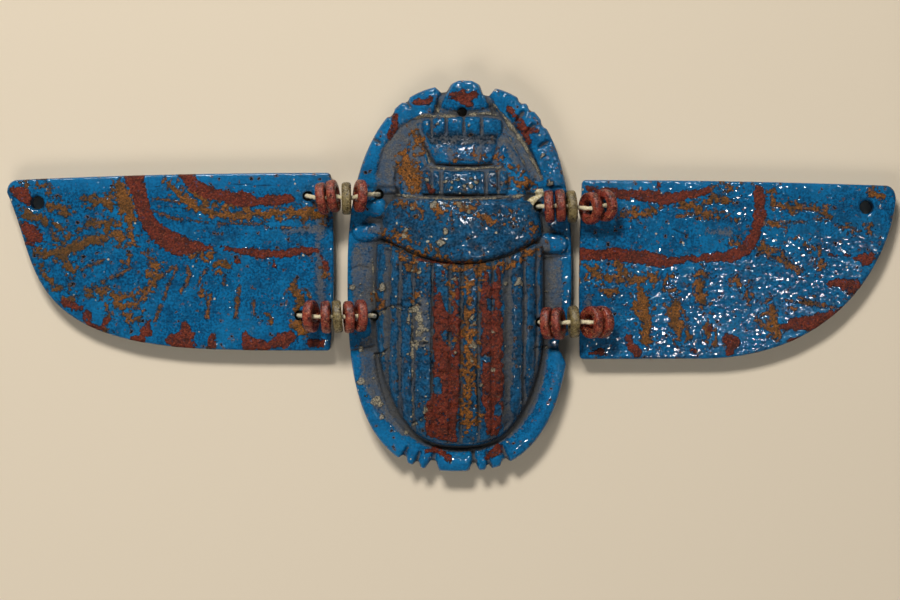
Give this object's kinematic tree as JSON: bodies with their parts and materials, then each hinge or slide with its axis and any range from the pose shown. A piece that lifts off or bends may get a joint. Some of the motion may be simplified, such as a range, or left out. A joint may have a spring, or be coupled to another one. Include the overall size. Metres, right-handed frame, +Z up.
{
  "type": "winged scarab pectoral",
  "caption": "Faience winged scarab: a carved beetle on an oval plate with flat wings tied on at each side by short strings of ring beads.",
  "frame": {"origin": "under the middle of the whole ornament's box, on the surface that it lies on", "axes": "+X to the viewer's right along the wings, +Y to the beetle's head, +Z up out of the beetle's back"},
  "size_m": [0.1602, 0.0702, 0.0113],
  "materials": {
    "blue_glaze": "cobalt blue faience glaze, glossy, pitted and worn, painted with dark red and ochre bands",
    "red_glaze": "brick red faience, speckled, half gloss",
    "olive_glaze": "olive khaki faience, half gloss",
    "linen": "undyed twisted linen thread"
  },
  "bodies": {
    "root": {"scarab": "blue_glaze", "wing_left": "blue_glaze", "wing_right": "blue_glaze", "bead_upper_left_1": "red_glaze", "bead_upper_left_2": "red_glaze", "bead_upper_left_3": "olive_glaze", "bead_upper_left_4": "red_glaze", "bead_lower_left_1": "red_glaze", "bead_lower_left_2": "red_glaze", "bead_lower_left_3": "olive_glaze", "bead_lower_left_4": "red_glaze", "bead_lower_left_5": "red_glaze", "bead_upper_right_1": "red_glaze", "bead_upper_right_2": "red_glaze", "bead_upper_right_3": "olive_glaze", "bead_upper_right_4": "red_glaze", "bead_upper_right_5": "red_glaze", "bead_lower_right_1": "red_glaze", "bead_lower_right_2": "red_glaze", "bead_lower_right_3": "olive_glaze", "bead_lower_right_4": "red_glaze", "bead_lower_right_5": "red_glaze", "thread_upper_left": "linen", "thread_lower_left": "linen", "thread_upper_right": "linen", "thread_lower_right": "linen"}
  },
  "joints": []
}
